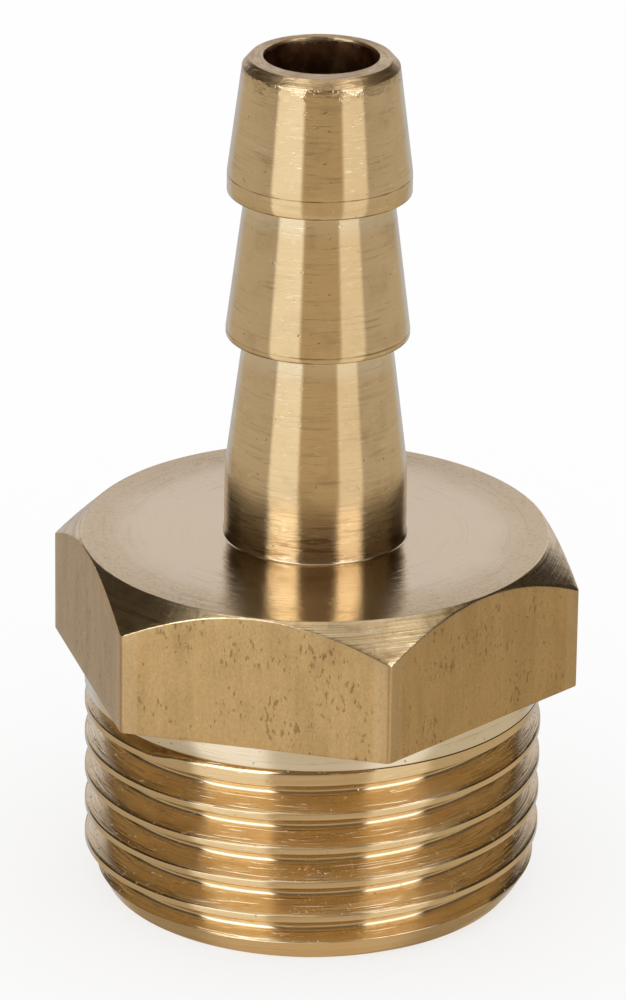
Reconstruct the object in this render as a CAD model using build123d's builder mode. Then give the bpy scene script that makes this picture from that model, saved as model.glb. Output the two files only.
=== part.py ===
"""Brass hose barb tail: a parallel pipe thread, a hexagon for the spanner and a tail with barbs.

The fitting is turned from one piece of hexagon bar. It stands on the end face of its thread,
with the origin at the centre of that face and +Z along the axis, towards the tip of the tail.
"""
from build123d import *
from math import ceil, cos, pi, radians, sin, tan
import os

# Parallel pipe thread with the 55 degree Whitworth form, 19 turns to the inch, right hand
thread_diameter = 16.66
thread_pitch = 1.337
thread_angle = 55
thread_depth = 0.64 * thread_pitch
root_radius = 0.137 * thread_pitch
nose_facets = 3
groove_overrun = 0.1
groove_phase = 0.15  # height of the groove's centre where it passes the +X corner

# Shank: a chamfered end, the thread, then a plain collar under the hexagon
shank_length = 8.5
collar_height = 0.85
end_chamfer_depth = 0.77
end_chamfer_angle = 30  # to the axis

# Hexagon bar, with its top turned to a crown
across_flats = 17.0
hex_height = 5.0
hex_corner_radius = 0.2
crown_margin = 0.05  # from the flats in to the round top face
crown_angle = 43  # below the top face

# Tail: barbs from the tip downwards, then a plain stem that is eased into the hexagon
tail_length = 18.0
barb_diameter = 6.6
barb_root_diameter = 5.3
barb_pitch = 5.4
barb_land = 0.22
first_barb_length = 4.95
first_barb_land = 0.7
stem_diameter = 6.6
stem_ease = 0.12
tip_diameter = 5.6
tip_chamfer_width = 0.26
tip_chamfer_height = 0.3

# Bore through the whole fitting
bore_diameter = 4.1
bore_countersink = 0.4

# Heights along the axis
end_chamfer_height = end_chamfer_depth / tan(radians(end_chamfer_angle))
thread_top = shank_length - collar_height
hex_top = shank_length + hex_height
tip_height = hex_top + tail_length
first_shoulder = tip_height - first_barb_length
second_shoulder = first_shoulder - barb_pitch
stem_top = second_shoulder - barb_pitch + barb_land

# Radii
thread_radius = thread_diameter / 2
end_face_radius = thread_radius - end_chamfer_depth
crown_radius = across_flats / 2 - crown_margin
barb_radius = barb_diameter / 2
barb_root_radius = barb_root_diameter / 2
stem_radius = stem_diameter / 2
tip_radius = tip_diameter / 2
bore_radius = bore_diameter / 2


# One turn of the thread's groove, cut by a tool with straight flanks and a rounded nose.
# The nose is drawn as short facets. The groove starts a full turn below the end face.
half_angle = radians(thread_angle / 2)
nose_centre = root_radius - thread_depth
nose_sweep = pi / 2 - half_angle
nose_points = []
for step in range(nose_facets + 1):
    turn = nose_sweep * (2 * step / nose_facets - 1)
    nose_points.append((nose_centre - root_radius * cos(turn), root_radius * sin(turn)))
nose_edge_x, nose_edge_y = nose_points[-1]
mouth_y = nose_edge_y + (groove_overrun - nose_edge_x) * tan(half_angle)
groove_start = groove_phase - thread_pitch

with BuildPart() as groove_turn:
    with BuildLine() as groove_path:
        Helix(thread_pitch, thread_pitch, thread_radius, center=(0, 0, groove_start))
    tool_plane = Plane(
        origin=groove_path.line @ 0, x_dir=(1, 0, 0), z_dir=groove_path.line % 0
    )
    with BuildSketch(tool_plane):
        with BuildLine():
            Polyline(
                (groove_overrun, -mouth_y),
                *nose_points,
                (groove_overrun, mouth_y),
                close=True,
            )
        make_face()
    sweep(path=groove_path.line, is_frenet=True)

with BuildPart() as hose_tail:
    # Shank blank, with the lead-in chamfer of the thread at its end
    with BuildSketch(Plane.XZ):
        with BuildLine():
            Polyline(
                (0, 0),
                (end_face_radius, 0),
                (thread_radius, end_chamfer_height),
                (thread_radius, thread_top),
                (0, thread_top),
                close=True,
            )
        make_face()
    revolve(axis=Axis.Z)

    # Thread: the groove, cut turn by turn until the collar stops the die
    turn_count = ceil(thread_top / thread_pitch) + 2
    for turn in range(turn_count):
        with Locations((0, 0, turn * thread_pitch)):
            add(groove_turn.part, mode=Mode.SUBTRACT)

    # Plain collar between the thread and the hexagon
    with BuildSketch(Plane.XY.offset(thread_top)):
        Circle(thread_radius)
    extrude(amount=collar_height)

    # Hexagon with the slightly rounded corners of drawn bar
    with BuildSketch(Plane.XY.offset(shank_length)) as hexagon:
        RegularPolygon(across_flats / 2, 6, major_radius=False)
        fillet(hexagon.vertices(), radius=hex_corner_radius)
    extrude(amount=hex_height)

    # Crown: the cone that turns the hexagon's top down to a round face
    crown_reach = across_flats
    crown_drop = (crown_reach - crown_radius) * tan(radians(crown_angle))
    with BuildSketch(Plane.XZ):
        with BuildLine():
            Polyline(
                (crown_radius, hex_top),
                (crown_reach, hex_top),
                (crown_reach, hex_top - crown_drop),
                close=True,
            )
        make_face()
    revolve(axis=Axis.Z, mode=Mode.SUBTRACT)

    # Tail: the stem, then cones that each end in a land and a square shoulder
    with BuildSketch(Plane.XZ):
        with BuildLine():
            Polyline(
                (0, hex_top),
                (stem_radius + stem_ease, hex_top),
                (stem_radius, hex_top + stem_ease),
                (stem_radius, stem_top),
                (barb_root_radius, second_shoulder),
                (barb_radius, second_shoulder),
                (barb_radius, second_shoulder + barb_land),
                (barb_root_radius, first_shoulder),
                (barb_radius, first_shoulder),
                (barb_radius, first_shoulder + first_barb_land),
                (tip_radius, tip_height - tip_chamfer_height),
                (tip_radius - tip_chamfer_width, tip_height),
                (0, tip_height),
                close=True,
            )
        make_face()
    revolve(axis=Axis.Z)

    # Bore right through, countersunk at the thread end
    Hole(bore_radius)
    end_face = hose_tail.faces().sort_by(Axis.Z)[0]
    chamfer(end_face.inner_wires()[0].edges(), length=bore_countersink)

hose_tail.part.label = "hose_tail"
os.makedirs("parts", exist_ok=True)
export_step(hose_tail.part, "parts/hose_tail.step")
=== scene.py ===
"""A turned brass hose barb tail, standing on the end of its pipe thread.

The fitting is one closed skin of rows that run round the axis. They start at the outer edge of the
end face, go up the thread, round the hexagon, up the tail and down the bore, and end on the end
face again. Lengths are in millimetres until they are multiplied by MM.
"""

import math

import bpy
import numpy as np
from mathutils import Matrix, Vector


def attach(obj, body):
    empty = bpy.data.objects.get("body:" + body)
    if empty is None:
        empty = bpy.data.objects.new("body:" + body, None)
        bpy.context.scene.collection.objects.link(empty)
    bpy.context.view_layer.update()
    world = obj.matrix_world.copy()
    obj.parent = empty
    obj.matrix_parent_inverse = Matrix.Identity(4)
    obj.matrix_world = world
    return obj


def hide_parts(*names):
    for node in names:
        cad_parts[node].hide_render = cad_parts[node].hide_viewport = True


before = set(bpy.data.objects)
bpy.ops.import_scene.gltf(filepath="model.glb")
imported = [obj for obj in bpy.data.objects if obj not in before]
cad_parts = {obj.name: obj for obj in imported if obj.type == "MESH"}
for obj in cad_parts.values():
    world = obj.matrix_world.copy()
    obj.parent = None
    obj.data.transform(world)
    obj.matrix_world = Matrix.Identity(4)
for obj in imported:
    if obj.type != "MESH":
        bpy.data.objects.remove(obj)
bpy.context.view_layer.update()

MM = 0.001

# Thread: 55 degree form, right hand
THREAD_RADIUS = 8.33
THREAD_PITCH = 1.337
THREAD_DEPTH = 0.64 * THREAD_PITCH
THREAD_HALF_ANGLE = math.radians(27.5)
ROOT_RADIUS = 0.137 * THREAD_PITCH
CREST_EASE = 0.03
GROOVE_PHASE = 0.15  # height of the groove's centre where it passes the +X corner
THREAD_TOP = 7.65
COLLAR_EDGE = 0.07  # rounding of the collar's lower edge, which leaves a fine ring above the crest
RUNOUT_START = 7.724  # height of the groove's centre where the die lifts out
RUNOUT_LENGTH = 0.035
RUNOUT_LIFT = 0.48
CHAMFER_DEPTH = 0.77
CHAMFER_ANGLE = math.radians(30)  # to the axis
END_FACE_RADIUS = THREAD_RADIUS - CHAMFER_DEPTH

# Collar, hexagon and crown
SHANK_LENGTH = 8.5
ACROSS_FLATS = 17.0
HEX_TOP = 13.5
HEX_CORNER_RADIUS = 0.2
CROWN_RADIUS = 8.45
CROWN_ANGLE = math.radians(43)  # below the top face
CORNER_BAND = 9.45  # distance from the axis beyond which the flats are worn towards a corner

# Tail
STEM_RADIUS = 3.3
STEM_FILLET = 0.12
FOOT_RADIUS = 3.8  # where the rows of the fillet start, out on the top face
FOOT_TOP = 13.8
BARB_RADIUS = 3.3
BARB_ROOT_RADIUS = 2.65
BARB_LAND = 0.22
STEM_TOP = 15.97
STEM_BLEND = 12.0  # radius that joins the stem to the cone above it
LINE_DEPTH = 0.004  # tool lines where each barb's land begins
LINE_WIDTH = 0.05
SECOND_SHOULDER = 21.15
FIRST_SHOULDER = 26.55
FIRST_LAND = 0.7
TIP_HEIGHT = 31.5
TIP_RADIUS = 2.8
TIP_FACE_RADIUS = 2.54
TIP_CHAMFER_HEIGHT = 0.3

# Bore: at the tip it has wandered a little from the axis
BORE_RADIUS = 2.05
BORE_WANDER = 0.16
BORE_WANDER_TOWARDS = math.radians(104)
BORE_COUNTERSINK = 0.4
BORE_ROWS = 20
# The tip's brighter finish carried down the bore paints a highlight on the bore's lip
LIP_DEPTH = 0.12  # the tip's finish reaches this far down the bore
END_FACE_ROW = 5.0  # a row on the end face, between the countersink and the thread

# Rounding of the edges that a tool leaves
EDGE = 0.035
FINE_EDGE = 0.02

# How finely the skin is divided
UNIFORM_COLUMNS = 204
CORNER_COLUMNS = (-0.62, -0.42, -0.21, 0.21, 0.42, 0.62)  # degrees from each corner
PROFILE_STEP = 0.15  # longest step over the thread's profile
TAIL_STEP = 0.3  # longest step up the tail
MERGE = 1e-4  # points nearer than this are one point
SHARP_ANGLE = math.radians(40)


def column_angles():
    """Angles of the skin's columns: evenly spaced, with more at the hexagon's corners."""
    step = 2 * math.pi / UNIFORM_COLUMNS
    angles = [step * i for i in range(UNIFORM_COLUMNS)]
    for corner in range(6):
        for offset in CORNER_COLUMNS:
            angles.append((corner * math.pi / 3 + math.radians(offset)) % (2 * math.pi))
    return np.array(sorted(angles) + [2 * math.pi])


def rounded(points, segments=3, longest=1.0):
    """A polyline with its corners rounded. Each point given is (across, along, radius).

    Each arc has at least that many segments, and no step is longer than longest.
    """
    out = [points[0][:2]]
    for before, here, after in zip(points, points[1:], points[2:]):
        p, a, b = (np.array(q[:2], float) for q in (here, before, after))
        to_a, to_b = (a - p) / np.linalg.norm(a - p), (b - p) / np.linalg.norm(b - p)
        half = math.acos(max(-1.0, min(1.0, float(to_a @ to_b)))) / 2
        if here[2] <= 0 or half > math.radians(89.5):
            out.append(tuple(p))
            continue
        start = p + to_a * here[2] / math.tan(half)
        bisector = (to_a + to_b) / np.linalg.norm(to_a + to_b)
        centre = p + bisector * here[2] / math.sin(half)
        first = start - centre
        turn = math.pi - 2 * half
        side = math.copysign(1.0, to_b[0] * to_a[1] - to_b[1] * to_a[0])
        steps = max(segments, math.ceil(here[2] * turn / longest))
        for k in range(steps + 1):
            angle = side * turn * k / steps
            c, s = math.cos(angle), math.sin(angle)
            out.append(tuple(centre + (c * first[0] - s * first[1], s * first[0] + c * first[1])))
    out.append(points[-1][:2])
    divided = [out[0]]
    for p, q in zip(out, out[1:]):
        parts = max(1, math.ceil(math.dist(p, q) / longest))
        for k in range(1, parts + 1):
            divided.append((p[0] + (q[0] - p[0]) * k / parts, p[1] + (q[1] - p[1]) * k / parts))
    return divided


def groove_profile():
    """One pitch of the thread, from crest to crest: (height from the groove's centre, radius)."""
    flanks_meet = THREAD_DEPTH - ROOT_RADIUS + ROOT_RADIUS / math.sin(THREAD_HALF_ANGLE)
    mouth = flanks_meet * math.tan(THREAD_HALF_ANGLE)
    half = THREAD_PITCH / 2
    outline = [
        (-half, 0, 0),
        (-mouth, 0, CREST_EASE),
        (0, -flanks_meet, ROOT_RADIUS),
        (mouth, 0, CREST_EASE),
        (half, 0, 0),
    ]
    points = rounded(outline, segments=4, longest=PROFILE_STEP)
    return [(along, THREAD_RADIUS + depth) for along, depth in points]


def hex_radius(angles):
    """The hexagon's outline as a radius, with its rounded corners."""
    sixth = math.pi / 3
    from_corner = np.abs((angles + sixth / 2) % sixth - sixth / 2)
    flat = ACROSS_FLATS / 2 / np.cos(sixth / 2 - from_corner)
    centre = (ACROSS_FLATS / 2 - HEX_CORNER_RADIUS) / math.cos(sixth / 2)
    under = np.maximum(HEX_CORNER_RADIUS**2 - (centre * np.sin(from_corner)) ** 2, 0)
    corner = centre * np.cos(from_corner) + np.sqrt(under)
    limit = math.atan2(
        HEX_CORNER_RADIUS * math.sin(sixth / 2),
        centre + HEX_CORNER_RADIUS * math.cos(sixth / 2),
    )
    return np.where(from_corner < limit, corner, flat)


class Skin:
    """Rows of points round the axis. Each row has a radius and a height at every column."""

    def __init__(self, angles):
        self.angles = angles
        self.rows = []
        self.zones = []

    def add(self, radius, height, zone):
        """Adds a row. The zone is the finish of the strip that ends at this row."""
        ones = np.ones(len(self.angles))
        self.rows.append((radius * ones, height * ones))
        self.zones.append(zone)

    def add_line(self, points, zone):
        for radius, height in points:
            self.add(radius, height, zone)

    def build(self, name, materials):
        """Joins the rows into one closed mesh, the last row to the first.

        Points that meet become one, and a face that has shrunk to a line is left out.
        """
        count, columns = len(self.rows), len(self.angles)
        grid = np.empty((count, columns, 3))
        for i, (radius, height) in enumerate(self.rows):
            grid[i, :, 0] = radius * np.cos(self.angles)
            grid[i, :, 1] = radius * np.sin(self.angles)
            grid[i, :, 2] = height
        keys = np.round(grid.reshape(-1, 3) / MERGE).astype(np.int64)
        _, first, index = np.unique(keys, axis=0, return_index=True, return_inverse=True)
        index = index.reshape(count, columns)
        points = grid.reshape(-1, 3)[first] * MM
        faces, slots = [], []
        names = list(materials)
        for i in range(count):
            j = (i + 1) % count
            slot = names.index(self.zones[j])
            for c in range(columns - 1):
                corners = (index[i, c], index[i, c + 1], index[j, c + 1], index[j, c])
                ring = [int(v) for k, v in enumerate(corners) if v != corners[k - 1]]
                if len(ring) >= 3 and len(set(ring)) == len(ring):
                    faces.append(ring)
                    slots.append(slot)
        mesh = bpy.data.meshes.new(name)
        mesh.from_pydata(points.tolist(), [], faces)
        for zone in names:
            mesh.materials.append(materials[zone])
        mesh.polygons.foreach_set("material_index", slots)
        mesh.polygons.foreach_set("use_smooth", [True] * len(faces))
        mesh.update()
        mesh.validate()
        piece = bpy.data.objects.new(name, mesh)
        bpy.context.scene.collection.objects.link(piece)
        return piece


def add_thread(skin):
    """The end face's edge, the lead-in chamfer and the thread, up to the collar."""
    profile = groove_profile()
    pitches = range(-2, math.ceil(THREAD_TOP / THREAD_PITCH) + 1)
    offsets = [p[0] + THREAD_PITCH * k for k in pitches for p in profile[:-1]]
    depths = np.array([p[0] for p in profile]), np.array([p[1] for p in profile])
    centre = GROOVE_PHASE + THREAD_PITCH * skin.angles / (2 * math.pi)

    def radius_at(height):
        along = (height - centre + THREAD_PITCH / 2) % THREAD_PITCH - THREAD_PITCH / 2
        out = np.clip((height - along - RUNOUT_START) / RUNOUT_LENGTH, 0, 1)
        thread = np.minimum(np.interp(along, *depths) + RUNOUT_LIFT * out, THREAD_RADIUS)
        cone = END_FACE_RADIUS + height * math.tan(CHAMFER_ANGLE)
        return np.minimum(thread, cone)

    # The end face's rounded edge, then rows that follow the helix between that edge and the collar
    ones = np.ones(len(skin.angles))
    edge = radius_at(EDGE * ones)
    skin.add(edge - 1.6 * EDGE, 0, "thread")
    skin.add(edge - 0.6 * EDGE, 0.2 * EDGE, "thread")
    skin.add(edge, EDGE, "thread")
    for offset in offsets:
        height = np.clip(centre + offset, EDGE, THREAD_TOP)
        skin.add(radius_at(height), height, "thread")
    top = radius_at(THREAD_TOP * ones)
    skin.add(top, THREAD_TOP, "thread")
    for step in range(4):
        turn = math.radians(30 * step)
        radius = THREAD_RADIUS - COLLAR_EDGE * (1 - math.sin(turn))
        skin.add(radius, THREAD_TOP + COLLAR_EDGE * (1 - math.cos(turn)), "collar")


def add_hexagon(skin):
    """The collar's wall, the hexagon's underside and sides, and the crown."""
    outline = hex_radius(skin.angles)
    wall = THREAD_TOP + COLLAR_EDGE
    for share in (0.5, 1.0):
        skin.add(THREAD_RADIUS, wall + (SHANK_LENGTH - wall) * share, "collar")
    skin.add(outline - EDGE, SHANK_LENGTH, "hexagon")
    for step in range(1, 4):
        turn = math.radians(30 * step)
        radius = outline - EDGE * (1 - math.sin(turn))
        skin.add(radius, SHANK_LENGTH + EDGE * (1 - math.cos(turn)), "hexagon")
    crown_width = outline - CROWN_RADIUS
    crown_foot = HEX_TOP - crown_width * math.tan(CROWN_ANGLE)
    ease = np.minimum(EDGE, 0.35 * crown_width)
    low, high = SHANK_LENGTH + EDGE, crown_foot - ease
    for share in np.linspace(0, 1, 9)[1:]:
        skin.add(outline, low + (high - low) * share, "hexagon")
    # The crown's foot and its top edge are rounded by ease, with two rows inside each corner
    along_r, along_z = math.cos(CROWN_ANGLE), math.sin(CROWN_ANGLE)
    skin.add(outline - 0.12 * ease, crown_foot - 0.3 * ease, "hexagon")
    skin.add(outline - 0.4 * ease, crown_foot + 0.2 * ease, "crown")
    start = outline - along_r * ease, crown_foot + along_z * ease
    end = CROWN_RADIUS + along_r * ease, HEX_TOP - along_z * ease
    for share in np.linspace(0, 1, 7):
        radius = start[0] + (end[0] - start[0]) * share
        height = start[1] + (end[1] - start[1]) * share
        skin.add(radius, height, "crown")
    skin.add(CROWN_RADIUS + 0.2 * ease, HEX_TOP - 0.3 * ease, "crown")
    skin.add(CROWN_RADIUS - 0.4 * ease, HEX_TOP - 0.06 * ease, "crown")
    skin.add(CROWN_RADIUS - ease, HEX_TOP, "crown")


def tool_line(radius, height, slope):
    """A fine groove in a barb, as three points of its outline. Above it the cone has the slope."""
    half = LINE_WIDTH / 2
    return [
        (radius, height - half, 0),
        (radius - LINE_DEPTH, height, 0),
        (radius + slope * half, height + half, 0),
    ]


def add_tail(skin):
    """The top face, the stem, the barbs and the tip."""
    for radius in np.linspace(CROWN_RADIUS, STEM_RADIUS + STEM_FILLET, 10)[1:]:
        skin.add(radius, HEX_TOP, "top")
    foot = rounded(
        [
            (FOOT_RADIUS, HEX_TOP, 0),
            (STEM_RADIUS, HEX_TOP, STEM_FILLET),
            (STEM_RADIUS, FOOT_TOP, 0),
        ],
        segments=4,
    )
    first_cone = TIP_HEIGHT - FIRST_SHOULDER - FIRST_LAND
    second_cone = FIRST_SHOULDER - SECOND_SHOULDER - BARB_LAND
    first_slope = (TIP_RADIUS - BARB_RADIUS) / first_cone
    second_slope = (BARB_ROOT_RADIUS - BARB_RADIUS) / second_cone
    tip_start = TIP_HEIGHT - TIP_CHAMFER_HEIGHT
    outline = rounded(
        [
            (STEM_RADIUS, FOOT_TOP, 0),
            (STEM_RADIUS, STEM_TOP, STEM_BLEND),
            (BARB_ROOT_RADIUS, SECOND_SHOULDER, FINE_EDGE),
            (BARB_RADIUS, SECOND_SHOULDER, EDGE),
            *tool_line(BARB_RADIUS, SECOND_SHOULDER + BARB_LAND, second_slope),
            (BARB_ROOT_RADIUS, FIRST_SHOULDER, FINE_EDGE),
            (BARB_RADIUS, FIRST_SHOULDER, EDGE),
            *tool_line(BARB_RADIUS, FIRST_SHOULDER + FIRST_LAND, first_slope),
            (TIP_RADIUS, tip_start, EDGE),
            (TIP_FACE_RADIUS, TIP_HEIGHT, 0),
        ],
        longest=TAIL_STEP,
    )
    skin.add_line(foot[2:], "tail")  # the first two of its points are on the top face
    skin.add_line([p for p in outline[1:] if p[1] < tip_start], "tail")
    skin.add_line([p for p in outline if p[1] >= tip_start], "tip")


def add_bore(skin):
    """The tip's face, the bore's wall down to its countersink, and the end face outside that."""
    towards = np.cos(skin.angles - BORE_WANDER_TOWARDS)

    def wall(extra, height, zone):
        skin.add(BORE_RADIUS + extra + BORE_WANDER * height / TIP_HEIGHT * towards, height, zone)

    wall(EDGE, TIP_HEIGHT, "tip")
    wall(0.3 * EDGE, TIP_HEIGHT - 0.3 * EDGE, "tip")
    wall(0, TIP_HEIGHT - EDGE, "tip")
    wall(0, TIP_HEIGHT - LIP_DEPTH, "tip")
    for height in np.linspace(TIP_HEIGHT - 0.4, BORE_COUNTERSINK, BORE_ROWS):
        wall(0, height, "bore")
    skin.add(BORE_RADIUS + BORE_COUNTERSINK, 0, "bore")
    skin.add(END_FACE_ROW, 0, "top")


# --- Finishes ---
#
# A noise takes its lines or blotches to the millimetre, then its waves round the axis where it is
# drawn out, then a seed. A ramp or a fall runs from its first number to its second.


LEAST_RADIUS = 0.1  # the distance from the axis is kept above this, because it divides
HELIX_DRIFT = 0.8  # how fast the marks along the thread change from turn to turn


class Nodes:
    """Short calls for making a material's or the world's nodes."""

    def __init__(self, tree):
        self.tree = tree
        tree.nodes.clear()

    def new(self, kind, **settings):
        node = self.tree.nodes.new(kind)
        for key, value in settings.items():
            setattr(node, key, value)
        return node

    def put(self, socket, value):
        if isinstance(value, bpy.types.NodeSocket):
            self.tree.links.new(value, socket)
        elif value is not None:
            socket.default_value = value

    def math(self, operation, a, b=None, c=None, clamp=False):
        node = self.new("ShaderNodeMath", operation=operation, use_clamp=clamp)
        for socket, value in zip(node.inputs, (a, b, c)):
            self.put(socket, value)
        return node.outputs[0]

    def times(self, a, b):
        return self.math("MULTIPLY", a, b)

    def vector(self, x, y, z):
        node = self.new("ShaderNodeCombineXYZ")
        for socket, value in zip(node.inputs, (x, y, z)):
            self.put(socket, value)
        return node.outputs[0]

    def ramp(self, value, low, high, to_low=0.0, to_high=1.0, smooth=True):
        kind = "SMOOTHSTEP" if smooth else "LINEAR"
        node = self.new("ShaderNodeMapRange", interpolation_type=kind)
        for socket, given in zip(node.inputs, (value, low, high, to_low, to_high)):
            self.put(socket, given)
        return node.outputs[0]

    def fall(self, value, low, high):
        """1 up to low, then falling to 0 at high."""
        return self.ramp(value, low, high, 1.0, 0.0)

    def mix(self, share, a, b):
        node = self.new("ShaderNodeMix", data_type="RGBA")
        self.put(node.inputs[0], share)
        self.put(node.inputs[6], a)
        self.put(node.inputs[7], b)
        return node.outputs[2]

    def noise(self, vector, w, detail=2.0, rough=0.5):
        node = self.new("ShaderNodeTexNoise", noise_dimensions="4D")
        self.put(node.inputs["Vector"], vector)
        self.put(node.inputs["W"], w)
        node.inputs["Scale"].default_value = 1.0
        node.inputs["Detail"].default_value = detail
        node.inputs["Roughness"].default_value = rough
        return node.outputs["Fac"]


def place(n):
    """The point in millimetres: x, y, z and the distance from the axis."""
    at = n.new("ShaderNodeTexCoord").outputs["Object"]
    split = n.new("ShaderNodeSeparateXYZ")
    n.put(split.inputs[0], at)
    x, y, z = (n.times(split.outputs[i], 1 / MM) for i in range(3))
    r = n.math("SQRT", n.math("ADD", n.times(x, x), n.times(y, y)))
    return x, y, z, n.math("MAXIMUM", r, LEAST_RADIUS)


def turned_noise(n, point, per_mm, around, seed, detail=2.0, rough=0.5):
    """Noise drawn out into rings: per_mm lines across them and long waves round the axis."""
    x, y, z, r = point
    at = n.vector(
        n.times(n.math("DIVIDE", x, r), around),
        n.times(n.math("DIVIDE", y, r), around),
        n.math("MULTIPLY_ADD", z, per_mm, seed),
    )
    return n.noise(at, n.times(r, per_mm), detail, rough)


def above_crest(n, point):
    """Height above the middle of the thread's crest, from half a pitch below it to half above."""
    x, y, z, _ = point
    turn = n.times(n.math("ARCTAN2", y, x), THREAD_PITCH / (2 * math.pi))
    above = n.math("SUBTRACT", n.math("SUBTRACT", z, turn), GROOVE_PHASE + THREAD_PITCH / 2)
    return n.math("WRAP", above, THREAD_PITCH / 2, -THREAD_PITCH / 2)


def helical_noise(n, point, per_mm, around, seed, detail=2.0, rough=0.5):
    """Noise drawn out along the thread, changing slowly from turn to turn, joined at the root."""
    x, y, z, r = point
    at = n.vector(
        n.times(n.math("DIVIDE", x, r), around),
        n.times(n.math("DIVIDE", y, r), around),
        n.math("MULTIPLY_ADD", above_crest(n, point), per_mm, seed),
    )
    return n.noise(at, n.times(z, HELIX_DRIFT), detail, rough)


def patch_noise(n, point, per_mm, seed, detail=2.0, rough=0.5, stretch=1.0):
    """Blotches of one size all round, drawn out along the axis where stretch is over 1."""
    x, y, z, _ = point
    at = n.vector(n.times(x, per_mm), n.times(y, per_mm), n.times(z, per_mm / stretch))
    return n.noise(at, seed, detail, rough)


def brass(name, colour, dark, roughness, anisotropy, marks):
    """A brass finish.

    marks(n, point) gives the surface's tone from colour to dark, its paleness and its roughness,
    each from 0 to 1, and its height in millimetres.
    """
    material = bpy.data.materials.new(name)
    material.use_nodes = True
    n = Nodes(material.node_tree)
    tone, pale, rough, height = marks(n, place(n))
    shader = n.new("ShaderNodeBsdfPrincipled")
    shader.inputs["Metallic"].default_value = 1.0
    toned = n.mix(tone, (*colour, 1), (*dark, 1))
    n.put(shader.inputs["Base Color"], n.mix(pale, toned, (*BRIGHT_BRASS, 1)))
    n.put(shader.inputs["Roughness"], n.ramp(rough, 0, 1, *roughness, smooth=False))
    if anisotropy:
        shader.inputs["Anisotropic"].default_value = anisotropy
        shader.inputs["Anisotropic Rotation"].default_value = 0.25
        around = n.new("ShaderNodeTangent", direction_type="RADIAL", axis="Z")
        n.put(shader.inputs["Tangent"], around.outputs[0])
    bump = n.new("ShaderNodeBump")
    bump.inputs["Strength"].default_value = 1.0
    bump.inputs["Distance"].default_value = MM
    n.put(bump.inputs["Height"], height)
    n.put(shader.inputs["Normal"], bump.outputs[0])
    out = n.new("ShaderNodeOutputMaterial")
    n.put(out.inputs["Surface"], shader.outputs[0])
    return material


def total(n, *terms):
    """The sum of (value, weight) pairs."""
    result = 0.0
    for value, weight in terms:
        result = n.math("MULTIPLY_ADD", value, weight, result)
    return result


def tool_marks(n, point, lines, seed, noise=turned_noise):
    """Marks of a tool, each from 0 to 1: dark lines, bright lines, short nicks and small pits."""
    shown = n.ramp(patch_noise(n, point, 0.9, seed), 0.36, 0.6, 0.25, 1.0)
    rings = noise(n, point, lines, 1.5, seed + 1, 3.0, 0.7)
    dark = n.times(n.ramp(rings, 0.52, 0.66), shown)
    bright = n.times(n.ramp(rings, 0.46, 0.34), shown)
    nicks = n.ramp(noise(n, point, lines, 8.0, seed + 2, 1.0), 0.64, 0.72)
    pits = n.ramp(patch_noise(n, point, 5.5, seed + 3, 1.0), 0.70, 0.77)
    return dark, bright, nicks, pits


def window(n, value, low, high, soft):
    """1 between low and high, falling to 0 over a width of soft outside them."""
    return n.times(n.ramp(value, low - soft, low), n.fall(value, high, high + soft))


def tail_marks(n, point):
    """Turned cones, painted paler under each barb as a reflection, a coarse tarnished stem and a
    bruised lip.
    """
    z, r = point[2], point[3]
    shoulders = (SECOND_SHOULDER, FIRST_SHOULDER)
    lands = (SECOND_SHOULDER + BARB_LAND, FIRST_SHOULDER + FIRST_LAND)
    dark, bright, nicks, pits = tool_marks(n, point, 8.0, 3.1)
    stain = n.ramp(patch_noise(n, point, 0.75, 8.6, 4.0, 0.65), 0.46, 0.72)
    coarse = turned_noise(n, point, 7.0, 2.2, 5.5, 3.0, 0.6)
    scored = n.ramp(coarse, 0.5, 0.64)
    # Where the marks lie: the stem's wall, its foot, darkened as painted shade where it meets the
    # top face, and the lip under the tip's chamfer
    wall = n.fall(r, STEM_RADIUS + 0.01, STEM_RADIUS + 0.05)
    uneven = total(n, (z, 1.0), (coarse, 1.8))
    stem = n.times(wall, n.fall(uneven, HEX_TOP + 1.8, HEX_TOP + 4.5))
    foot = n.times(wall, n.fall(z, HEX_TOP - 0.1, HEX_TOP + 1.9))
    ragged = total(n, (z, 1.0), (patch_noise(n, point, 3.0, 4.4), 0.8))
    lip = n.ramp(ragged, TIP_HEIGHT - 0.4, TIP_HEIGHT + 0.1)
    # Painted shade in broken lines under the barbs' shoulders and where their lands begin
    lines = [window(n, z, height - 0.03, height + 0.04, 0.03) for height in shoulders]
    lines += [window(n, z, height - 0.03, height, 0.02) for height in lands]
    broken = n.ramp(turned_noise(n, point, 3.0, 3.0, 1.2, 3.0), 0.38, 0.6, 0.35, 1.0)
    painted_shade_lines = n.times(total(n, *((line, 1.0) for line in lines)), broken)
    tone = total(
        n,
        (dark, 0.2),
        (pits, 0.4),
        (stain, 0.2),
        (painted_shade_lines, 0.9),
        (stem, 0.2),
        (foot, 0.4),
        (n.times(stem, scored), 0.42),
        (n.times(lip, scored), 0.45),
        (lip, 0.1),
    )
    # Painted reflection: the cone just under each shoulder is paler
    under = [
        n.times(n.ramp(z, height - 1.2, height - 0.3), n.math("LESS_THAN", z, height - 0.01))
        for height in shoulders
    ]
    pale = total(n, (under[0], 0.45), (under[1], 0.45), (nicks, 0.3), (bright, 0.22))
    knocks = n.ramp(patch_noise(n, point, 4.0, 7.7, 2.0), 0.5, 0.68)
    rings = n.times(coarse, n.math("MAXIMUM", stem, lip))
    fine = total(n, (dark, -0.0012), (bright, 0.0008), (nicks, -0.001), (pits, -0.003))
    height = total(n, (rings, 0.014), (n.times(knocks, lip), 0.012), (fine, 1.0))
    rough = total(n, (dark, 0.2), (stain, 0.15), (stem, 0.75), (lip, 0.4))
    return tone, pale, rough, height


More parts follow.
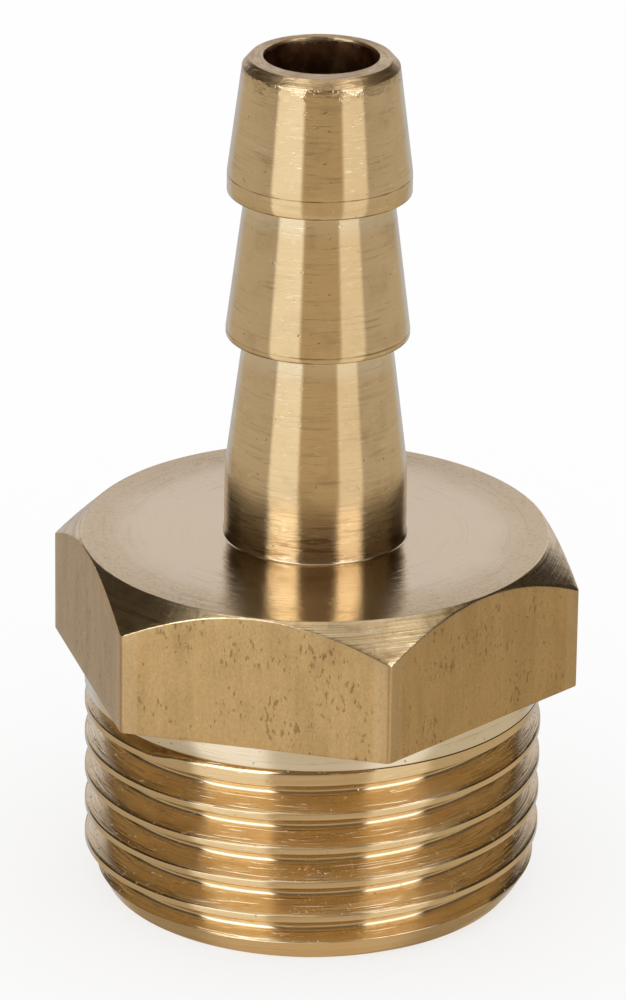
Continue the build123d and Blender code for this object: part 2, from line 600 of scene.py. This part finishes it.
def thread_marks(n, point):
    """A smooth crest, root and lead-in, and flanks scored along the thread by the die."""
    z, r = point[2], point[3]
    dark, bright, nicks, pits = tool_marks(n, point, 12.0, 3.1, helical_noise)
    scores = helical_noise(n, point, 20.0, 1.5, 8.3, 2.0, 0.6)
    ridges = n.ramp(helical_noise(n, point, 20.0, 4.0, 4.7, 1.0), 0.56, 0.66)
    sparks = n.ramp(helical_noise(n, point, 14.0, 60.0, 2.9, 1.0), 0.66, 0.74)
    stain = n.ramp(patch_noise(n, point, 0.6, 8.6, 4.0, 0.65), 0.48, 0.75)
    # Where the marks lie: the flanks but not the lead-in cone, the crest's edges, the lower flank
    over_cone = total(n, (r, 1.0), (z, -math.tan(CHAMFER_ANGLE)))
    off_cone = n.fall(over_cone, END_FACE_RADIUS - 0.04, END_FACE_RADIUS - 0.01)
    flank = n.times(window(n, r, THREAD_RADIUS - 0.72, THREAD_RADIUS - 0.06, 0.04), off_cone)
    edge = window(n, r, THREAD_RADIUS - 0.05, THREAD_RADIUS - 0.02, 0.012)
    under = n.fall(above_crest(n, point), -0.16, -0.12)
    # Painted shade: the flanks take a deeper tone, and the crest's edges and the lower flank under
    # the crest are darkened further
    tone = total(
        n,
        (dark, 0.4),
        (pits, 0.5),
        (stain, 0.2),
        (edge, 0.3),
        (flank, 0.22),
        (under, 0.25),
        (ridges, -0.15),
    )
    pale = total(n, (nicks, 0.2), (bright, 0.15), (n.times(ridges, flank), 0.35))
    rough = total(n, (flank, 0.7), (scores, 0.3))
    scored = total(n, (scores, 0.018), (ridges, 0.011), (sparks, 0.014))
    fine = total(n, (pits, -0.004), (nicks, 0.003), (dark, -0.001))
    return tone, pale, rough, total(n, (n.times(scored, flank), 1.0), (fine, 1.0))


def collar_marks(n, point):
    """Fine rings, and a darker ring at the collar's lower edge, where it meets the thread."""
    dark, _, nicks, pits = tool_marks(n, point, 8.0, 6.4)
    ring = n.fall(point[2], THREAD_TOP + 0.04, THREAD_TOP + 0.06)
    tone = total(n, (dark, 0.5), (pits, 0.8), (ring, 0.9))
    return tone, n.times(nicks, 0.3), dark, total(n, (dark, -0.001), (pits, -0.003))


def crown_marks(n, point):
    """Coarse arcs left by the tool that chamfered the hexagon, over a mottled surface."""
    arcs = turned_noise(n, point, 7.5, 1.6, 2.2, 3.0, 0.65)
    mottle = patch_noise(n, point, 2.2, 5.0, 3.0, 0.6)
    tone = total(n, (n.ramp(arcs, 0.48, 0.64), 0.55), (n.ramp(mottle, 0.45, 0.65), 0.35))
    height = total(n, (arcs, 0.02), (mottle, 0.012))
    return tone, n.ramp(arcs, 0.46, 0.32, 0.0, 0.4), arcs, height


def faced_marks(n, point):
    """Circles left by facing, and a duller, speckled rim."""
    r = point[3]
    dark, bright, nicks, pits = tool_marks(n, point, 7.0, 9.3)
    cloud = patch_noise(n, point, 0.8, 2.7, 4.0, 0.65)
    grain = n.ramp(patch_noise(n, point, 9.0, 3.3, 2.0), 0.5, 0.66)
    rim = n.ramp(total(n, (r, 1.0), (cloud, 1.5)), CROWN_RADIUS - 1.55, CROWN_RADIUS + 0.15)
    outer = n.ramp(r, STEM_RADIUS + 0.4, STEM_RADIUS + 2.7, 0.45, 1.0)
    speckle = n.math("MAXIMUM", pits, n.times(grain, rim))
    tone = total(n, (rim, 0.5), (n.times(speckle, outer), 0.4), (n.times(dark, outer), 0.25))
    lines = total(n, (dark, -0.0035), (bright, 0.0035), (nicks, -0.003))
    height = total(n, (n.times(lines, outer), 1.0), (pits, -0.0015))
    rough = total(n, (n.ramp(r, STEM_RADIUS + 0.7, CROWN_RADIUS - 0.05), 0.6), (dark, 0.2))
    return tone, 0.0, rough, height


def tip_marks(n, point):
    """A tip with coarse rings, dark between them and bright on them, over a fine grain."""
    grain = patch_noise(n, point, 5.0, 6.1, 3.0, 0.65)
    rings = turned_noise(n, point, 8.0, 3.0, 4.1, 3.0, 0.6)
    tone = total(n, (n.ramp(rings, 0.46, 0.62), 0.6), (n.ramp(grain, 0.5, 0.66), 0.3))
    pale = n.ramp(rings, 0.44, 0.32, 0.0, 0.4)
    return tone, pale, grain, total(n, (grain, 0.014), (rings, 0.034))


def drawn_marks(n, point):
    """Drawn bar: fine lines along it, small pits in clusters and a speckled skin."""
    r = point[3]
    speckle = patch_noise(n, point, 15.0, 1.0, 2.0, 0.6, stretch=1.6)
    lines = patch_noise(n, point, 4.0, 3.0, 3.0, 0.6, stretch=30.0)
    smudge = patch_noise(n, point, 0.9, 6.0, 3.0, 0.6, stretch=3.0)
    cluster = n.ramp(patch_noise(n, point, 0.6, 4.0, 3.0), 0.36, 0.64, -0.06, 0.06)
    field = n.math("ADD", patch_noise(n, point, 7.5, 9.0, 2.0, 0.6, stretch=2.4), cluster)
    inside = n.ramp(r, CORNER_BAND, CORNER_BAND + 0.15, 1.0, 0.25)
    pits = n.times(n.ramp(field, 0.595, 0.70), inside)
    tone = total(
        n,
        (pits, 0.55),
        (n.ramp(speckle, 0.35, 0.65), 0.2),
        (n.ramp(lines, 0.4, 0.62), 0.07),
        (n.ramp(smudge, 0.42, 0.66), 0.2),
    )
    height = total(n, (speckle, 0.0022), (lines, 0.0015), (pits, -0.006))
    pale = n.ramp(r, CORNER_BAND + 0.03, CORNER_BAND + 0.11, 0.0, 0.1)
    return tone, pale, speckle, height


def bore_marks(n, point):
    """A drilled wall, blotched and painted dark as shade inside the hole, with a ragged paler lip
    at the tip as a painted highlight.
    """
    rings = turned_noise(n, point, 4.0, 2.5, 3.1, 3.0, 0.65)
    blotch = patch_noise(n, point, 1.4, 2.7, 3.0)
    ragged = total(n, (point[2], 1.0), (patch_noise(n, point, 1.8, 6.2, 4.0, 0.7), 1.4))
    lip = n.ramp(ragged, TIP_HEIGHT + 0.52, TIP_HEIGHT + 0.66, 0.0, 0.4)
    return n.ramp(blotch, 0.35, 0.6), lip, rings, total(n, (rings, 0.004), (blotch, 0.004))


PALE_BRASS = (0.82, 0.66, 0.43)
DEEP_BRASS = (0.62, 0.45, 0.24)
OLD_BRASS = (0.45, 0.31, 0.15)
TIP_BRASS = (0.74, 0.54, 0.29)
CROWN_BRASS = (0.84, 0.66, 0.40)
BRIGHT_BRASS = (0.93, 0.86, 0.73)
# The collar's paler, greyer brass is a painted reflection of the table in front of it
COLLAR_PAINTED_REFLECTION_BRASS = (0.93, 0.88, 0.78)
# The thread's dark tone: painted shade on its flanks, and also the colour of its pits and stains
FLANK_SHADE_AND_STAIN_BRASS = (0.68, 0.48, 0.22)
DRAWN_BRASS = (0.67, 0.49, 0.26)
TARNISH = (0.30, 0.19, 0.09)
# The bore's browns are painted shade inside the hole
BORE_SHADE_BROWN = (0.36, 0.17, 0.07)
BORE_SHADE_DARK = (0.16, 0.07, 0.03)


def brass_finishes():
    """The finish of each zone: name, its two tones, roughness from and to, anisotropy, marks."""
    return {
        "thread": brass("brass_thread", PALE_BRASS, FLANK_SHADE_AND_STAIN_BRASS, (0.13, 0.19), 1.0, thread_marks),
        # The collar's pale base is a painted reflection
        "collar": brass("brass_collar", COLLAR_PAINTED_REFLECTION_BRASS, DEEP_BRASS, (0.2, 0.3), 0.6, collar_marks),
        "hexagon": brass("brass_drawn_bar", DRAWN_BRASS, TARNISH, (0.28, 0.42), 0.0, drawn_marks),
        "crown": brass("brass_crown", CROWN_BRASS, OLD_BRASS, (0.18, 0.3), 0.7, crown_marks),
        "top": brass("brass_faced", PALE_BRASS, DEEP_BRASS, (0.11, 0.28), 0.9, faced_marks),
        "tail": brass("brass_turned", PALE_BRASS, TARNISH, (0.1, 0.3), 0.95, tail_marks),
        "tip": brass("brass_tip", TIP_BRASS, OLD_BRASS, (0.27, 0.46), 0.5, tip_marks),
        "bore": brass("brass_bore_shade", BORE_SHADE_BROWN, BORE_SHADE_DARK, (0.3, 0.5), 0.0, bore_marks),
    }


def make_fitting():
    skin = Skin(column_angles())
    add_thread(skin)
    add_hexagon(skin)
    add_tail(skin)
    add_bore(skin)
    piece = skin.build("brass_hose_tail", brass_finishes())
    piece.data.set_sharp_from_angle(angle=SHARP_ANGLE)
    smooth = piece.modifiers.new("weighted_normals", "WEIGHTED_NORMAL")
    smooth.keep_sharp = True
    smooth.weight = 60
    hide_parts("hose_tail")
    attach(piece, "root")


# --- Camera, floor and light ---

# The camera's place round and above the fitting, its roll and distance, and the point it looks at
VIEW_AZIMUTH = math.radians(13.95)
VIEW_ELEVATION = math.radians(22.277)
VIEW_ROLL = math.radians(0.782)
VIEW_DISTANCE = 243.06
VIEW_TARGET_RIGHT = -0.0885
VIEW_TARGET_HEIGHT = 14.65
VIEW_LENS = 242.31
SENSOR = 36.0
CLIP_START = 0.01  # metres, as the sizes below
CLIP_END = 10.0

FLOOR_SIZE = 1.5
FLOOR_WHITE = (0.97, 0.97, 0.97, 1)
FLOOR_ROUGHNESS = 0.9
FLOOR_LIFT = 0.7  # share of plain white that the camera sees in the floor
STUDIO_RADIUS = 0.8
STUDIO_RINGS = 36
STUDIO_SIDES = 72


def view_axes():
    """The directions to the camera's right, up its picture without the roll, and back to it."""
    a, e = VIEW_AZIMUTH, VIEW_ELEVATION
    back = Vector((math.sin(a) * math.cos(e), -math.cos(a) * math.cos(e), math.sin(e)))
    right = Vector((math.cos(a), math.sin(a), 0))
    return right, back.cross(right), back


def make_camera():
    right, up, back = view_axes()
    target = right * VIEW_TARGET_RIGHT * MM + Vector((0, 0, VIEW_TARGET_HEIGHT * MM))
    c, s = math.cos(VIEW_ROLL), math.sin(VIEW_ROLL)
    camera = bpy.data.objects.new("camera", bpy.data.cameras.new("camera"))
    bpy.context.scene.collection.objects.link(camera)
    axes = Matrix((c * right + s * up, c * up - s * right, back)).transposed()
    camera.matrix_world = Matrix.Translation(target + back * VIEW_DISTANCE * MM) @ axes.to_4x4()
    camera.data.sensor_width = SENSOR
    camera.data.lens = VIEW_LENS
    camera.data.clip_start = CLIP_START
    camera.data.clip_end = CLIP_END
    bpy.context.scene.camera = camera


def plain_mesh(name, points, faces):
    mesh = bpy.data.meshes.new(name)
    mesh.from_pydata(points, [], faces)
    mesh.update()
    piece = bpy.data.objects.new(name, mesh)
    bpy.context.scene.collection.objects.link(piece)
    return piece


def make_floor():
    """A white floor. Reflections don't see it, because the studio has a table of its own."""
    h = FLOOR_SIZE / 2
    floor = plain_mesh("floor", [(-h, -h, 0), (h, -h, 0), (h, h, 0), (-h, h, 0)], [(0, 1, 2, 3)])
    material = bpy.data.materials.new("floor_white")
    material.use_nodes = True
    n = Nodes(material.node_tree)
    shader = n.new("ShaderNodeBsdfPrincipled")
    shader.inputs["Base Color"].default_value = FLOOR_WHITE
    shader.inputs["Roughness"].default_value = FLOOR_ROUGHNESS
    shader.inputs["Specular IOR Level"].default_value = 0.0
    white = n.new("ShaderNodeEmission")
    rays = n.new("ShaderNodeLightPath").outputs
    kinds = ("Is Camera Ray", "Is Glossy Ray", "Is Transmission Ray")
    seen = total(n, *((rays[kind], FLOOR_LIFT) for kind in kinds))
    both = n.new("ShaderNodeMixShader")
    for socket, value in zip(both.inputs, (seen, shader.outputs[0], white.outputs[0])):
        n.put(socket, value)
    out = n.new("ShaderNodeOutputMaterial")
    n.put(out.inputs["Surface"], both.outputs[0])
    floor.data.materials.append(material)
    floor.visible_glossy = False


def patch(azimuth, elevation, soft, light):
    """A softbox, flag or part of the table.

    Its azimuth to the camera's right, its elevation and its soft edges are in degrees.
    """
    return azimuth, elevation, soft, light


# The studio round the object as the metal sees it. Each patch lies over those before it.
STUDIO_BASE = (0.035, 0.027, 0.018)
STUDIO = (
    patch((-180, 180), (-95, -1), (4, 4), (0.52, 0.45, 0.35)),  # table towards the horizon
    patch((-180, 180), (-95, -20), (4, 10), (0.47, 0.38, 0.26)),
    patch((-180, 180), (-95, -38), (4, 10), (0.36, 0.28, 0.18)),
    patch((62, 128), (-40, -18), (10, 8), (0.54, 0.44, 0.29)),
    patch((-180, 180), (-120, -64), (4, 12), (0.60, 0.46, 0.29)),  # table under the fitting
    patch((148, 214), (-3, 42), (14, 8), (0.70, 0.70, 0.78)),  # wall behind
    patch((144, 218), (-34, -1), (14, 4), (0.54, 0.54, 0.56)),
    patch((66, 108), (4, 34), (12, 10), (0.13, 0.105, 0.075)),
    patch((-108, -64), (4, 34), (12, 10), (0.10, 0.08, 0.055)),
    patch((-180, 180), (58, 130), (8, 12), (0.62, 0.58, 0.52)),  # ceiling
    patch((38, 104), (50, 80), (16, 8), (0.60, 0.54, 0.45)),
    patch((-70, 0), (60, 80), (14, 8), (0.92, 0.86, 0.76)),
    patch((-26, 32), (1, 52), (4, 4), (0.16, 0.125, 0.10)),  # camera and what is behind it
    patch((-26, 32), (-24, 1), (6, 4), (0.51, 0.40, 0.255)),
    patch((-26, 32), (-62, -22), (6, 6), (0.57, 0.47, 0.34)),
    patch((-61, -22), (3, 52), (5, 5), (2.4, 2.5, 2.7)),  # left softbox and its glow on the table
    patch((-61, -22), (-24, 3), (6, 5), (0.96, 0.89, 0.75)),
    patch((-61, -22), (-62, -22), (6, 8), (0.90, 0.79, 0.62)),
    patch((29, 61), (3, 52), (5, 5), (2.1, 2.1, 2.2)),  # right softbox and its glow on the table
    patch((29, 61), (-62, 3), (6, 6), (0.84, 0.74, 0.58)),
)


def dome_mesh():
    """The points and faces of a ball with STUDIO_RINGS steps from pole to pole."""
    sides = STUDIO_SIDES
    points = [(0, 0, -STUDIO_RADIUS)]
    for i in range(1, STUDIO_RINGS):
        tilt = math.pi * i / STUDIO_RINGS - math.pi / 2
        flat, height = STUDIO_RADIUS * math.cos(tilt), STUDIO_RADIUS * math.sin(tilt)
        for j in range(sides):
            turn = 2 * math.pi * j / sides
            points.append((flat * math.cos(turn), flat * math.sin(turn), height))
    points.append((0, 0, STUDIO_RADIUS))
    faces = [(0, 1 + j, 1 + (j + 1) % sides) for j in range(sides)]
    for i in range(STUDIO_RINGS - 2):
        for j in range(sides):
            a, b = 1 + i * sides + j, 1 + i * sides + (j + 1) % sides
            faces.append((a, b, b + sides, a + sides))
    last = len(points) - 1
    faces += [(last - sides + (j + 1) % sides, last - sides + j, last) for j in range(sides)]
    return points, faces


def make_studio():
    """A dome of softboxes and flags that only reflections see. The world gives the plain light."""
    dome = plain_mesh("studio", *dome_mesh())
    material = bpy.data.materials.new("studio_light")
    material.use_nodes = True
    n = Nodes(material.node_tree)
    split = n.new("ShaderNodeSeparateXYZ")
    n.put(split.inputs[0], n.new("ShaderNodeTexCoord").outputs["Object"])
    x, y, z = split.outputs
    right, _, _ = view_axes()
    side = n.math("ADD", n.times(x, right.x), n.times(y, right.y))
    front = n.math("SUBTRACT", n.times(x, right.y), n.times(y, right.x))
    azimuth = n.math("DEGREES", n.math("ARCTAN2", side, front))
    elevation = n.math("DEGREES", n.math("ARCSINE", n.math("DIVIDE", z, STUDIO_RADIUS)))
    colour = (*STUDIO_BASE, 1)
    for azimuths, elevations, soft, bright in STUDIO:
        middle, half = sum(azimuths) / 2, (azimuths[1] - azimuths[0]) / 2
        turn = n.math("ABSOLUTE", n.math("WRAP", n.math("SUBTRACT", azimuth, middle), 180, -180))
        inside = n.fall(turn, half - soft[0] / 2, half + soft[0] / 2)
        middle, half = sum(elevations) / 2, (elevations[1] - elevations[0]) / 2
        tilt = n.math("ABSOLUTE", n.math("SUBTRACT", elevation, middle))
        level = n.fall(tilt, half - soft[1] / 2, half + soft[1] / 2)
        colour = n.mix(n.times(inside, level), colour, (*bright, 1))
    shine = n.new("ShaderNodeEmission")
    n.put(shine.inputs["Color"], colour)
    out = n.new("ShaderNodeOutputMaterial")
    n.put(out.inputs["Surface"], shine.outputs[0])
    material.cycles.emission_sampling = "NONE"
    dome.data.materials.append(material)
    dome.visible_camera = False
    dome.visible_diffuse = False
    dome.visible_shadow = False
    dome.visible_transmission = False


def make_world():
    world = bpy.data.worlds.new("world")
    world.use_nodes = True
    n = Nodes(world.node_tree)
    background = n.new("ShaderNodeBackground")
    background.inputs["Color"].default_value = (1, 1, 1, 1)
    background.inputs["Strength"].default_value = 1.0
    out = n.new("ShaderNodeOutputWorld")
    n.put(out.inputs["Surface"], background.outputs[0])
    world.cycles.sampling_method = "NONE"
    bpy.context.scene.world = world
    bpy.context.scene.view_settings.view_transform = "Standard"


make_fitting()
make_camera()
make_floor()
make_studio()
make_world()
